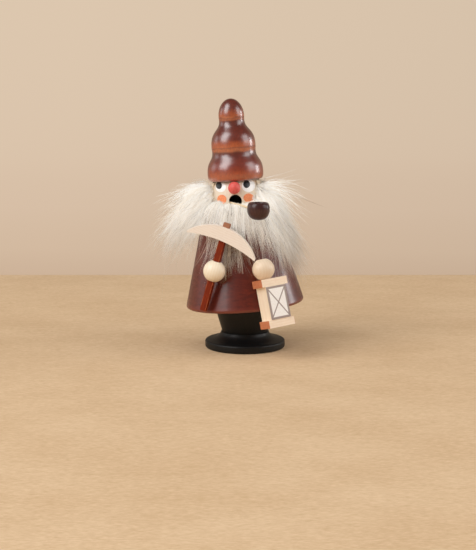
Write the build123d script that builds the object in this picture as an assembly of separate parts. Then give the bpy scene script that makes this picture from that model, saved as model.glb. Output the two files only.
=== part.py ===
from build123d import *
import os
from math import asin, atan, cos, degrees, radians, sin, sqrt

# Turned-wood incense smoker: a bearded gnome miner with hat, pick, pipe and lantern, on a round foot.
# Millimetres. Origin at the centre of the underside, +Z up, the figure faces -Y.
# Left and right are the figure's own: its left side is +X.

# Clearances
glue_gap = 0.03           # around glued dowels, pegs and tenons
lift_gap = 0.25           # between the spigot and the coat that lifts off it
fur_gap = 0.3             # between the fur and the wood

# Foot and legs
base_radius = 17.0
base_rim = 3.4            # height of the disc's rim
base_height = 6.8         # height of the disc's crown, where the legs stand
base_edge = 0.9           # rounding of the rim
crown_land = 0.5          # ledge of the crown around the legs
crown_hollow = 0.6        # depth of the hollow curve between rim and crown
leg_foot_radius = 9.7
leg_top_radius = 13.2
seat_height = 18.7        # height of the coat's seat, on the axis
body_lean = 4.2           # the seat tips the coat to the figure's right, degrees
leg_dowel_radius = 3.0
leg_dowel_reach = 5.0     # into the legs
base_floor = 2.0          # wood left in the disc under the dowel
spigot_radius = 9.6
spigot_height = 5.0
vent_count = 3            # draught slots in the seat
vent_width = 2.4
vent_depth = 1.5
vent_wall = 1.1           # how deep the slots cut into the spigot's side

# Saucer, its nails and the incense cone
dish_sheet = 0.4
dish_radius = 8.2
dish_flat_radius = 7.2
dish_rim = 1.0
nail_circle = 5.9
nail_radius = 0.45
nail_head_radius = 0.9
nail_head = 0.35
nail_reach = 3.0
cone_radius = 4.0
cone_height = 15.0
cone_tip_radius = 0.6

# Coat, measured up its own leaned axis from the seat
hem_radius = 25.2
hem_edge = 1.0
coat_taper_ratio = 0.265        # loss of radius per height
coat_height = 38.0
coat_top_radius = 9.0
shoulder_drop = 6.5       # from the coat's top to where the shoulders begin
shoulder_roundness = 4.5
chamber_drop = 11.0       # from the coat's top to the chamber's roof
roof_height = 4.0         # cone between the chamber and the neck bore
neck_radius = 6.1

# Head
head_radius = 10.8
head_rise = 8.5           # centre of the ball above the coat
brim_rise = 6.2           # hat brim above the ball's centre
crown_proud = 1.9         # the head's flat top, inside the hat, above the brim
tenon_length = 6.0
flue_radius = 4.2
flue_rise = 1.4           # flue's end above the ball's centre
mouth_radius = 2.65
mouth_drop = 1.9          # mouth below the ball's centre
nose_radius = 2.55
nose_proud = 1.2          # nose centre outside the ball's surface
nose_gap = 0.05           # nose top below the brim
nose_peg_radius = 0.9
nose_peg_reach = 3.0

# Hat, measured up from its brim
brim_edge = 1.1
cap_recess_gap = 0.5      # room around the head's crown inside the brim
low_tier_radius = 11.7
low_tier_height = 2.8
low_waist_radius = 9.1
low_waist_height = 11.9
mid_tier_radius = 9.25
mid_tier_height = 14.2
mid_waist_radius = 5.25
mid_waist_height = 24.9
top_tier_radius = 5.35
top_tier_height = 26.5
hat_height = 33.8
belly_ratio = 0.65         # how long a tier's curve stays upright at its belly
waist_ratio = 0.4          # and at its waist
lip_ratio = 0.5            # same, from a waist out to the next belly
round_ratio = 0.5523       # pull of a curve that follows a quarter of an ellipse
hat_dowel_radius = 2.5
hat_dowel_reach = 5.5     # into the hat
head_dowel_reach = 4.8    # into the head

# Strips of hide and the fur on them, heights from the ball's centre
pelt_thickness = 0.7
hair_angle = 62.0         # degrees from the front to the hair strip's edge
hair_drop = 4.5
hair_rise = 5.7
chin_angle = 56.0
chin_drop = 7.1           # to the lower edge of the strip under the chin
chin_strip = 2.2          # height of that strip
beard_angle = 58.0
beard_top_drop = 3.9
beard_top_radius = 12.4
beard_cheek_radius = 16.4
beard_cheek_drop = 8.9
beard_radius = 20.1
beard_full_drop = 16.5
beard_low_drop = 24.9
tuft_front_angle = 61.0
tuft_back_angle = 119.0
back_angle = 122.0
back_top_radius = 14.2
back_radius = 20.0
back_full_drop = 10.5
back_low_drop = 22.5

# Side tufts: places along the tuft from the ball's centre, half sizes across and along the figure's depth
right_tuft = [((-10.5, 0, 0.7), (4.6, 6.4)), ((-19.0, -1, -3.5), (7.0, 8.0)),
              ((-27.0, -2, -12.5), (4.4, 6.0)), ((-33.4, -3, -22.5), (0.7, 1.2))]
left_tuft = [((10.5, 0, 0.7), (4.6, 6.4)), ((18.2, -1, -4.1), (6.4, 8.0)),
             ((22.4, -2, -15.5), (4.4, 6.4)), ((25.6, -3, -30.5), (0.7, 1.2))]

# Hands
hand_radius = 4.5
hand_flat = 4.1           # from the bead's centre to the flats around its bore
hand_peg_radius = 1.0
coat_peg_reach = 3.0      # into the coat
bead_peg_reach = 2.0      # into the bead
right_hand_angle = -22.2   # degrees from the front
right_hand_seat = 16.7    # height of the peg on the coat
right_hand_stand = 0.1    # bead to coat
left_hand_angle = 22.9
left_hand_seat = 15.95
left_hand_stand = 1.8

# Pick, measured along its handle from the right hand
pick_lean = 19.7          # degrees, top towards the figure's left
handle_side = 2.45
handle_angle = -15.5      # degrees about its own axis
handle_below = 16.8
handle_above = 20.3
blade_centre = 15.7
blade_shift = 0.5         # blade's middle beside the handle
blade_span = 29.8
blade_crown = 2.8         # outer edge above the blade's centre
blade_belly = 2.85        # inner edge below the blade's centre
blade_tip_drop = 4.8      # tips below the blade's centre
blade_tip = 0.7
blade_thickness = 4.0
blade_cant = 7.4          # degrees, away from square to the handle

# Lantern, hung under the left hand
lantern_angle = 30.5       # degrees from the front
lantern_roll = -7.2
lantern_pitch = -8.4
lantern_shift = 1.75       # block centre beside the pin
block_width = 9.0
block_depth = 8.4
block_height = 13.5
slat_width = 11.6
slat_height = 3.1
card_thickness = 0.25
card_margin = 0.15
lantern_pin_radius = 1.2
lantern_pin_reach = 2.0   # into the top slat

# Pipe
bowl_across = 9.6         # bowl's centre to the figure's left
bowl_before = 19.9        # before the figure's axis
bowl_drop = 5.3           # below the ball's centre
bowl_radius = 4.5
bowl_above = 3.2          # from the widest place to the rim
bowl_below = 4.2
bowl_mouth_radius = 3.5
bowl_bore_radius = 2.3
bowl_bore_depth = 3.0
stem_radius = 0.42
stem_across = 1.0         # stem at the lips, to the figure's right
stem_drop = 2.8           # and below the ball's centre
stem_bowl_reach = 1.8
stem_head_reach = 5.2     # past the lips, into the mouth's side wall


def at(radius, turn, height):
    return Vector(radius * sin(radians(turn)), -radius * cos(radians(turn)), height)


def post(radius, low, high):
    return Pos(0, 0, low) * Cylinder(radius, high - low, align=(Align.CENTER, Align.CENTER, Align.MIN))


def rod(start, end, radius):
    along = Plane(origin=start, z_dir=end - start)
    length = (end - start).length
    return along.location * Cylinder(radius, length, align=(Align.CENTER, Align.CENTER, Align.MIN))


def turned(*edges):
    return revolve(make_face(Plane.XZ * Curve(children=list(edges))), Axis.Z)


def turned_outline(points):
    return revolve(make_face(Plane.XZ * Polyline(*points, close=True)), Axis.Z)


def swept_sector(face, start, end):
    # Turns a face that lies at the figure's left (90 degrees) from one bearing to another.
    return Rot(0, 0, start - 90) * revolve(face, Axis.Z, revolution_arc=end - start)


def swell(low, high, low_pull, high_pull):
    # Curve between two radii that leaves and arrives upright.
    rise = high[1] - low[1]
    return Bezier(low, (low[0], low[1] + low_pull * rise), (high[0], high[1] - high_pull * rise), high)


def quarter_round(side, end):
    # Quarter of an ellipse from an upright side to a level end.
    side_pull = (side[0], side[1] + round_ratio * (end[1] - side[1]))
    end_pull = (end[0] + round_ratio * (side[0] - end[0]), end[1])
    return Bezier(side, side_pull, end_pull, end)


def coat_radius(height):
    return hem_radius - coat_taper_ratio * height


# The coat's own frame: its axis leans, its origin is the centre of the seat.
body = Pos(0, 0, seat_height) * Rot(0, -body_lean, 0)
coat_slope = degrees(atan(coat_taper_ratio))
pelt_radius = head_radius + pelt_thickness
shoulder_height = coat_height - shoulder_drop
chamber_height = coat_height - chamber_drop
head_height = coat_height + head_rise
head_centre = Vector(0, 0, head_height)
mouth_height = head_height - mouth_drop
brim_height = head_height + brim_rise
crown_height = brim_height + crown_proud
chamber_radius = spigot_radius + lift_gap
bowl_centre = head_centre + Vector(bowl_across, -bowl_before, -bowl_drop)


def coat_outline(gap=0):
    # Outer shape of the coat as one closed solid, grown by a gap.
    start = (coat_radius(shoulder_height) + gap, shoulder_height)
    pull = (coat_radius(shoulder_height + shoulder_roundness) + gap, shoulder_height + shoulder_roundness)
    end = (coat_top_radius + gap, coat_height + gap)
    side = Polyline((0, end[1]), (0, -gap), (hem_radius + gap, -gap), start)
    shoulder = Bezier(start, pull, ((pull[0] + end[0]) / 2, end[1]), end)
    return turned(side, shoulder, Line(end, (0, end[1])))


def hand_place(turn, seat, stand):
    # Bead centre and the direction square to the coat at its peg.
    out = at(cos(radians(coat_slope)), turn, sin(radians(coat_slope)))
    foot = at(coat_radius(seat), turn, seat)
    return foot, out, foot + out * (hand_radius + stand)


right_foot, right_out, right_centre = hand_place(right_hand_angle, right_hand_seat, right_hand_stand)
left_foot, left_out, left_centre = hand_place(left_hand_angle, left_hand_seat, left_hand_stand)
right_frame = Pos(right_centre) * Rot(0, pick_lean, 0)
left_frame = Pos(left_centre) * Rot(lantern_pitch, 0, 0) * Rot(0, lantern_roll, 0) * Rot(0, 0, lantern_angle)


def base_disc():
    crown_radius = leg_foot_radius + crown_land
    rim = base_radius - base_edge
    outline = [Polyline((0, base_height), (0, 0), (rim, 0)),
               TangentArc((rim, 0), (base_radius, base_edge), tangent=(1, 0)),
               Line((base_radius, base_edge), (base_radius, base_rim - base_edge)),
               TangentArc((base_radius, base_rim - base_edge), (rim, base_rim), tangent=(0, 1)),
               Bezier((rim, base_rim), (crown_radius + crown_hollow, base_rim + crown_hollow),
                      (crown_radius, base_height)),
               Line((crown_radius, base_height), (0, base_height))]
    return turned(*outline) - post(leg_dowel_radius + glue_gap, base_floor, base_height)


def legs():
    slope = (leg_top_radius - leg_foot_radius) / (seat_height - base_height)
    spare = 2 * leg_top_radius * sin(radians(body_lean)) + vent_depth
    cone_top = seat_height + spare
    cone = turned_outline([(0, base_height), (leg_foot_radius, base_height),
                           (leg_top_radius + slope * spare, cone_top), (0, cone_top)])
    above_seat = body * post(2 * leg_top_radius, 0, 4 * spare)
    solid = cone - above_seat + body * post(spigot_radius, 0, spigot_height)
    slot_length = leg_top_radius
    slot = Pos(spigot_radius - vent_wall + slot_length / 2, 0, (spigot_height - vent_depth) / 2)
    slot = slot * Box(slot_length, vent_width, spigot_height + vent_depth)
    for number in range(vent_count):
        solid -= body * Rot(0, 0, 90 + number * 360 / vent_count) * slot
    solid -= post(leg_dowel_radius + glue_gap, base_height, base_height + leg_dowel_reach)
    for side in (-1, 1):
        solid -= body * Pos(side * nail_circle, 0, 0) * post(
            nail_radius + glue_gap, spigot_height - nail_reach, spigot_height)
    return solid


def leg_dowel():
    return post(leg_dowel_radius, base_floor, base_height + leg_dowel_reach - glue_gap)


def incense_dish():
    bend = dish_flat_radius - dish_sheet / 2
    sheet = turned_outline([(0, 0), (dish_flat_radius, 0), (dish_radius, dish_rim),
                            (dish_radius - dish_sheet, dish_rim), (bend, dish_sheet), (0, dish_sheet)])
    for side in (-1, 1):
        sheet -= Pos(side * nail_circle, 0, 0) * post(nail_radius + glue_gap, -dish_sheet, 2 * dish_sheet)
    return body * Pos(0, 0, spigot_height) * sheet


def dish_nails():
    top = spigot_height + dish_sheet
    nails = []
    for side in (-1, 1):
        shank = post(nail_radius, spigot_height - nail_reach, top)
        head_disc = post(nail_head_radius, top, top + nail_head)
        nails.append(body * Pos(side * nail_circle, 0, 0) * (shank + head_disc))
    return Compound(children=nails)


def incense_cone():
    foot = spigot_height + dish_sheet
    return body * turned_outline([(0, foot), (cone_radius, foot), (cone_tip_radius, foot + cone_height),
                                  (0, foot + cone_height)])


def coat():
    solid = coat_outline()
    hem = solid.edges().filter_by(GeomType.CIRCLE).sort_by(Axis.Z)[0]
    solid = fillet(hem, hem_edge)
    roof = chamber_height + roof_height
    solid -= turned_outline([(0, 0), (chamber_radius, 0), (chamber_radius, chamber_height),
                             (neck_radius, roof), (neck_radius, coat_height), (0, coat_height)])
    for foot, out in ((right_foot, right_out), (left_foot, left_out)):
        solid -= rod(foot - out * coat_peg_reach, foot + out * hand_radius, hand_peg_radius + glue_gap)
    return body * solid


def stem_line():
    # From the bowl through the lips: bowl centre, lip point and direction into the head.
    depth = sqrt(head_radius**2 - stem_across**2 - stem_drop**2)
    lips = head_centre + Vector(-stem_across, -depth, -stem_drop)
    return bowl_centre, lips, (lips - bowl_centre).normalized()


def nose_axis():
    pitch = asin((brim_rise - nose_gap - nose_radius) / (head_radius + nose_proud))
    return Vector(0, -cos(pitch), sin(pitch))


def head():
    ball = Pos(head_centre) * Sphere(head_radius)
    ball -= Pos(0, 0, coat_height - head_radius) * Box(*3 * [2 * head_radius])
    ball -= Pos(0, 0, crown_height + head_radius) * Box(*3 * [2 * head_radius])
    tenon_foot = coat_height - tenon_length
    solid = ball + post(neck_radius - glue_gap, tenon_foot, coat_height)
    solid -= post(flue_radius, tenon_foot, head_height + flue_rise)
    solid -= rod(Vector(0, 0, mouth_height), Vector(0, -head_radius, mouth_height), mouth_radius)
    out = nose_axis()
    root = head_centre + out * (head_radius - nose_peg_reach)
    solid -= rod(root, root + out * nose_radius * 3, nose_peg_radius + glue_gap)
    bowl, lips, inward = stem_line()
    solid -= rod(bowl, lips + inward * (stem_head_reach + glue_gap), stem_radius + glue_gap)
    solid -= post(hat_dowel_radius + glue_gap, crown_height - head_dowel_reach, crown_height)
    return body * solid


def hat():
    rim = low_tier_radius - brim_edge
    low_tier = (low_tier_radius, low_tier_height)
    low_waist = (low_waist_radius, low_waist_height)
    mid_tier = (mid_tier_radius, mid_tier_height)
    mid_waist = (mid_waist_radius, mid_waist_height)
    top_tier = (top_tier_radius, top_tier_height)
    outline = [Polyline((0, hat_height), (0, 0), (rim, 0)),
               Bezier((rim, 0), (rim + round_ratio * brim_edge, 0), (low_tier_radius, brim_edge), low_tier),
               swell(low_tier, low_waist, belly_ratio, waist_ratio),
               swell(low_waist, mid_tier, lip_ratio, lip_ratio),
               swell(mid_tier, mid_waist, belly_ratio, waist_ratio),
               swell(mid_waist, top_tier, lip_ratio, lip_ratio),
               quarter_round(top_tier, (0, hat_height))]
    solid = turned(*outline)
    widest = sqrt(head_radius**2 - brim_rise**2)
    solid -= post(widest + cap_recess_gap, 0, crown_proud)
    solid -= post(hat_dowel_radius + glue_gap, crown_proud, crown_proud + hat_dowel_reach)
    return body * Pos(0, 0, brim_height) * solid


def hat_dowel():
    low = crown_height - head_dowel_reach
    return body * post(hat_dowel_radius, low, crown_height + hat_dowel_reach - glue_gap)


def nose():
    out = nose_axis()
    centre = head_centre + out * (head_radius + nose_proud)
    root = head_centre + out * (head_radius - nose_peg_reach)
    ball = Pos(centre) * Sphere(nose_radius) - Pos(head_centre) * Sphere(head_radius + glue_gap)
    return body * (ball + rod(root, centre, nose_peg_radius))


def hide_strip(low, high, start, end):
    # Strip bent round the ball of the head, between two heights from its centre and two bearings.
    inner = head_radius + glue_gap
    ring = Pos(head_centre) * (Sphere(pelt_radius) - Sphere(inner))
    middle = head_height + (low + high) / 2
    face = Plane.XZ * Pos(pelt_radius, middle) * Rectangle(2 * pelt_radius, high - low)
    return ring & swept_sector(face, start, end)


def hair_pelt():
    return body * hide_strip(-hair_drop, hair_rise, hair_angle, 360 - hair_angle)


def beard_pelt():
    return body * hide_strip(-chin_drop, chin_strip - chin_drop, -chin_angle, chin_angle)


def clear_of_figure(fur):
    # Fur keeps off the coat, the head with its strips of hide, the hat and what is held before the beard.
    fur -= coat_outline(fur_gap)
    fur -= Pos(head_centre) * Sphere(pelt_radius + fur_gap)
    above = brim_height - fur_gap
    fur -= post(4 * hem_radius, above, above + hat_height)
    for centre in (right_centre, left_centre):
        fur -= Pos(centre) * Sphere(hand_radius + fur_gap)
    fur -= Pos(bowl_centre) * Sphere(bowl_radius + fur_gap)
    return fur


def fur_sector(outer, start, end):
    # Fur between two bearings, under an outer line of radii and drops from the ball's centre.
    points = [(radius, head_height - drop) for radius, drop in outer]
    top, foot = points[0], points[-1]
    outline = Spline(*points) + Polyline(foot, (0, foot[1]), (0, top[1]), top)
    return clear_of_figure(swept_sector(make_face(Plane.XZ * outline), start, end))


def beard():
    outer = [(beard_top_radius, beard_top_drop), (beard_cheek_radius, beard_cheek_drop),
             (beard_radius - fur_gap, beard_full_drop), (beard_radius, beard_low_drop)]
    blade_back = right_centre.Y + blade_thickness / 2 + fur_gap
    reach = 4 * hem_radius
    before_blade = Pos(0, blade_back - reach / 2, 0) * Box(*3 * [reach])
    return body * (fur_sector(outer, -beard_angle, beard_angle) - before_blade)


def back_hair():
    outer = [(back_top_radius, -hair_rise), (back_radius, back_full_drop), (back_radius, back_low_drop)]
    return body * fur_sector(outer, back_angle, 360 - back_angle)


def side_tuft(stations, start, end):
    places = [head_centre + Vector(*place) for place, size in stations]
    sections = []
    for number, (place, size) in enumerate(stations):
        ahead = places[min(number + 1, len(places) - 1)] - places[max(number - 1, 0)]
        across = Plane(origin=places[number], x_dir=ahead.cross(Vector(0, 1, 0)), z_dir=ahead)
        sections.append(across * Ellipse(*size))
    lock = loft(sections)
    reach = 2 * hem_radius
    face = Plane.XZ * Pos(reach / 2, 0) * Rectangle(reach, 4 * hem_radius)
    return clear_of_figure(lock & swept_sector(face, start, end))


def right_hair():
    return body * side_tuft(right_tuft, -tuft_back_angle, -tuft_front_angle)


def left_hair():
    return body * side_tuft(left_tuft, tuft_front_angle, tuft_back_angle)


def hand(frame, centre, out, bore_radius):
    bead = Sphere(hand_radius) & Box(4 * hand_radius, 4 * hand_radius, 2 * hand_flat)
    bead = frame * (bead - post(bore_radius, -hand_radius, hand_radius))
    return bead - rod(centre - out * (hand_radius - bead_peg_reach), centre - out * 2 * hand_radius,
                      hand_peg_radius + glue_gap)


def right_hand():
    return body * hand(right_frame, right_centre, right_out, handle_side / sqrt(2) + glue_gap)


def left_hand():
    return body * hand(left_frame, left_centre, left_out, lantern_pin_radius + glue_gap)


def hand_peg(foot, out, centre):
    return rod(foot - out * coat_peg_reach, centre - out * (hand_radius - bead_peg_reach), hand_peg_radius)


def right_hand_peg():
    return body * hand_peg(right_foot, right_out, right_centre)


def left_hand_peg():
    return body * hand_peg(left_foot, left_out, left_centre)


def handle_bar(side):
    bar = Box(side, side, handle_below + handle_above, align=(Align.CENTER, Align.CENTER, Align.MIN))
    return Pos(0, 0, -handle_below) * Rot(0, 0, handle_angle) * bar


def pick_handle():
    return body * right_frame * handle_bar(handle_side)


def pick_head():
    half = blade_span / 2
    tip = -blade_tip_drop
    outer = ThreePointArc((-half, tip + blade_tip / 2), (0, blade_crown), (half, tip + blade_tip / 2))
    inner = ThreePointArc((half, tip - blade_tip / 2), (0, -blade_belly), (-half, tip - blade_tip / 2))
    ends = [Line(outer @ 1, inner @ 0), Line(inner @ 1, outer @ 0)]
    face = Plane.XZ * make_face(Curve(children=[outer, inner, *ends]))
    blade = Pos(blade_shift, 0, 0) * extrude(face, blade_thickness / 2, both=True)
    blade = Pos(0, 0, blade_centre) * Rot(0, blade_cant, 0) * blade
    return body * right_frame * (blade - handle_bar(handle_side + 2 * glue_gap))


def lantern_box(width, low, high):
    return Pos(lantern_shift, 0, low) * Box(width, block_depth, high - low,
                                            align=(Align.CENTER, Align.CENTER, Align.MIN))


slat_top = -hand_flat
block_top = slat_top - slat_height
block_foot = block_top - block_height
pin_foot = slat_top - lantern_pin_reach


def lantern_top():
    slat = lantern_box(slat_width, block_top, slat_top)
    return body * left_frame * (slat - post(lantern_pin_radius + glue_gap, pin_foot, slat_top))


def lantern_body():
    return body * left_frame * lantern_box(block_width, block_foot, block_top)


def lantern_bottom():
    return body * left_frame * lantern_box(slat_width, block_foot - slat_height, block_foot)


def lantern_window():
    card = Box(block_width - 2 * card_margin, card_thickness, block_height - 2 * card_margin)
    front = -(block_depth + card_thickness) / 2
    return body * left_frame * Pos(lantern_shift, front, (block_top + block_foot) / 2) * card


def lantern_pin():
    return body * left_frame * post(lantern_pin_radius, pin_foot, hand_flat)


def pipe_bowl():
    side = (bowl_radius, 0)
    rim = (bowl_mouth_radius, bowl_above)
    outline = [Polyline(rim, (0, bowl_above), (0, -bowl_below)),
               quarter_round(side, (0, -bowl_below)),
               quarter_round(side, rim)]
    solid = turned(*outline) - post(bowl_bore_radius, bowl_above - bowl_bore_depth, bowl_above)
    bowl, lips, inward = stem_line()
    stem_start = bowl + inward * (bowl_radius - stem_bowl_reach)
    return body * (Pos(bowl) * solid - rod(stem_start, lips, stem_radius + glue_gap))


def pipe_stem():
    bowl, lips, inward = stem_line()
    start = bowl + inward * (bowl_radius - stem_bowl_reach)
    return body * rod(start, lips + inward * stem_head_reach, stem_radius)


pieces = [base_disc, legs, leg_dowel, incense_dish, dish_nails, incense_cone,
          coat, head, hat, hat_dowel, nose, pipe_bowl, pipe_stem,
          hair_pelt, beard_pelt, beard, right_hair, left_hair, back_hair,
          right_hand, right_hand_peg, pick_handle, pick_head,
          left_hand, left_hand_peg, lantern_pin, lantern_top, lantern_body, lantern_window, lantern_bottom]

os.makedirs("parts", exist_ok=True)
for piece in pieces:
    export_step(piece(), f"parts/{piece.__name__}.step")
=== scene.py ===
import math

import bpy
import numpy as np
from mathutils import Matrix, Vector


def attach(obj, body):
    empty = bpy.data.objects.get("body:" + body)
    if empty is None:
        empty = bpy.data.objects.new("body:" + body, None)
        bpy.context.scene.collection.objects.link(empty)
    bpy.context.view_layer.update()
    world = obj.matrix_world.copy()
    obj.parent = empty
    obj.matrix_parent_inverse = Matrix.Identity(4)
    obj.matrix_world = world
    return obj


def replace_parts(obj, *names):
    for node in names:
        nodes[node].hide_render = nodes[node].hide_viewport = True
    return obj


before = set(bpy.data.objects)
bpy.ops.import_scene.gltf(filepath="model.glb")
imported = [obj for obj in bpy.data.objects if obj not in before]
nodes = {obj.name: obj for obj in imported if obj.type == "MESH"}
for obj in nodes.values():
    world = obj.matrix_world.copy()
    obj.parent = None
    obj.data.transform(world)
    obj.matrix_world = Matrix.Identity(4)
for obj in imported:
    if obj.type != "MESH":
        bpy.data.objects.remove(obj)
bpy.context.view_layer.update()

scene = bpy.context.scene
scene.view_settings.view_transform = "Standard"
mm = 0.001


# frames: the figure leans on its level foot, and its hands hold the pick and the lantern at their own angles

def spun(axis, degrees):
    return Matrix.Rotation(math.radians(degrees), 4, axis)


def shifted(x, y, z):
    return Matrix.Translation((x * mm, y * mm, z * mm))


stance = {"seatHeight": 18.7, "lean": 4.2}
coatShape = {"hem": 25.2, "taper": 0.265, "shoulder": 31.5, "top": 38.0, "topRadius": 9.0, "bend": 2.2}
headShape = {"radius": 10.8, "height": 46.5, "brim": 52.7, "pelt": 0.7}
beads = {"radius": 4.5, "rightTurn": -22.2, "rightSeat": 16.7, "rightStand": 0.1,
         "leftTurn": 22.9, "leftSeat": 15.95, "leftStand": 1.8}
pickSet = {"lean": 19.7, "cant": 7.4, "bladeCentre": 15.7, "bladeThick": 4.0, "side": 2.45, "turn": -15.5}
lanternSet = {"turn": 30.5, "roll": -7.2, "pitch": -8.4, "shift": 1.75, "wide": 9.0, "high": 13.5,
              "slatWide": 11.6, "slatHigh": 3.1, "handFlat": 4.1}

figureFrame = shifted(0, 0, stance["seatHeight"]) @ spun("Y", -stance["lean"])


def beadCentre(turn, seat, stand):
    slope = math.atan(coatShape["taper"])
    out = beads["radius"] + stand
    reach = coatShape["hem"] - coatShape["taper"] * seat + math.cos(slope) * out
    bearing = math.radians(turn)
    return Vector((reach * math.sin(bearing), -reach * math.cos(bearing), seat + math.sin(slope) * out))


rightBead = beadCentre(beads["rightTurn"], beads["rightSeat"], beads["rightStand"])
leftBead = beadCentre(beads["leftTurn"], beads["leftSeat"], beads["leftStand"])
pickFrame = figureFrame @ shifted(*rightBead) @ spun("Y", pickSet["lean"])
handleFrame = pickFrame @ spun("Z", pickSet["turn"])
bladeFrame = pickFrame @ shifted(0, 0, pickSet["bladeCentre"]) @ spun("Y", pickSet["cant"])
lanternFrame = (figureFrame @ shifted(*leftBead) @ spun("X", lanternSet["pitch"])
                @ spun("Y", lanternSet["roll"]) @ spun("Z", lanternSet["turn"]))
blockMiddle = -(lanternSet["handFlat"] + lanternSet["slatHigh"] + lanternSet["high"] / 2)
blockFrame = lanternFrame @ shifted(lanternSet["shift"], 0, blockMiddle)
headFrame = figureFrame @ shifted(0, 0, headShape["height"])
brimFrame = figureFrame @ shifted(0, 0, headShape["brim"])


# camera, at eye level with the hat

cameraSet = {"place": (0.03653, -0.5024, 0.107), "tilt": 81.4, "pan": 4.5, "lens": 78.545, "sensor": 36}
bpy.ops.object.camera_add(location=cameraSet["place"],
                          rotation=(math.radians(cameraSet["tilt"]), 0, math.radians(cameraSet["pan"])))
camera = bpy.context.object
camera.name = "tableCamera"
camera.data.sensor_fit = "VERTICAL"
camera.data.sensor_height = cameraSet["sensor"]
camera.data.lens = cameraSet["lens"]
scene.camera = camera
print("camera set")


# node helpers

def screen(red, green, blue):
    # a colour as seen on screen, 0 to 255, in scene values
    parts = [c / 255 for c in (red, green, blue)]
    return tuple(c / 12.92 if c < 0.04045 else ((c + 0.055) / 1.055) ** 2.4 for c in parts) + (1.0,)


def add(tree, kind, inputs=None, **settings):
    made = tree.nodes.new(kind)
    for name, value in settings.items():
        setattr(made, name, value)
    for name, value in (inputs or {}).items():
        if isinstance(value, bpy.types.NodeSocket):
            tree.links.new(value, made.inputs[name])
        else:
            made.inputs[name].default_value = value
    return made


def calc(tree, operation, first, second=0.0):
    return add(tree, "ShaderNodeMath", {0: first, 1: second}, operation=operation).outputs[0]


def fade(tree, value, low, high, start=0.0, end=1.0):
    made = add(tree, "ShaderNodeMapRange", {"Value": value, "From Min": low, "From Max": high,
                                            "To Min": start, "To Max": end})
    return made.outputs["Result"]


def blendColour(tree, amount, first, second, kind="MIX"):
    # a colour is a socket, or three values as seen on screen
    first, second = (screen(*tone) if isinstance(tone, tuple) else tone for tone in (first, second))
    made = add(tree, "ShaderNodeMix", {0: amount, 6: first, 7: second}, data_type="RGBA", blend_type=kind)
    return made.outputs[2]


def bands(tree, value, stops):
    made = add(tree, "ShaderNodeValToRGB", {"Fac": value})
    ramp = made.color_ramp
    while len(ramp.elements) < len(stops):
        ramp.elements.new(0.5)
    for element, (place, colour) in zip(ramp.elements, stops):
        element.position = place
        element.color = screen(*colour)
    return made.outputs["Color"]


def axes(tree, vector):
    return add(tree, "ShaderNodeSeparateXYZ", {"Vector": vector}).outputs


def reach(tree, vector):
    return add(tree, "ShaderNodeVectorMath", {0: vector}, operation="LENGTH").outputs["Value"]


def placed(tree, where):
    # object coordinates in millimetres on a piece's own axes
    spot = add(tree, "ShaderNodeTexCoord").outputs["Object"]
    inputs = {"Vector": spot, "Location": where.translation, "Rotation": where.to_euler(),
              "Scale": (mm, mm, mm)}
    return add(tree, "ShaderNodeMapping", inputs, vector_type="TEXTURE").outputs["Vector"]


def stretched(tree, vector, scale, turn=(0, 0, 0), offset=(0, 0, 0)):
    inputs = {"Vector": vector, "Scale": scale, "Rotation": turn, "Location": offset}
    return add(tree, "ShaderNodeMapping", inputs).outputs["Vector"]


def noise(tree, vector, detail=2.0, rough=0.5):
    inputs = {"Vector": vector, "Scale": 1.0, "Detail": detail, "Roughness": rough}
    return add(tree, "ShaderNodeTexNoise", inputs).outputs["Fac"]


# shader sockets with their usual values; a piece's own look stands over these
shine = {"rough": ("Roughness", 0.5), "specular": ("Specular IOR Level", 0.5), "coat": ("Coat Weight", 0.0),
         "coatRough": ("Coat Roughness", 0.2), "coatIor": ("Coat IOR", 1.5), "metal": ("Metallic", 0.0)}


def newFinish(name, look):
    finish = bpy.data.materials.new(name)
    finish.use_nodes = True
    shader = finish.node_tree.nodes["Principled BSDF"]
    for key, (socket, usual) in shine.items():
        shader.inputs[socket].default_value = look.get(key, usual)
    return finish, finish.node_tree, shader


def bumped(tree, shader, height, strength):
    made = add(tree, "ShaderNodeBump", {"Height": height, "Strength": strength, "Distance": 0.1 * mm})
    tree.links.new(made.outputs["Normal"], shader.inputs["Normal"])


def settle(tree, shader, colour):
    tree.links.new(colour, shader.inputs["Base Color"])


def dress(finish, *names):
    for name in names:
        nodes[name].material_slots[0].material = finish


# usual values of the woods; scales are along the piece's axes, per millimetre
woodGrain = {"turn": (0, 0, 0), "pith": (16, 5, 0), "ringScale": 0.22, "ringLong": 0.12, "ringBend": 2.0,
             "fibre": (5.0, 5.0, 0.3), "dash": (7.0, 7.0, 0.8), "poreFrom": 0.58, "poreTo": 0.68,
             "fibreRise": 0.6, "poreSink": 0.8, "glossier": 0.05, "duller": 0.06}


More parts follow.
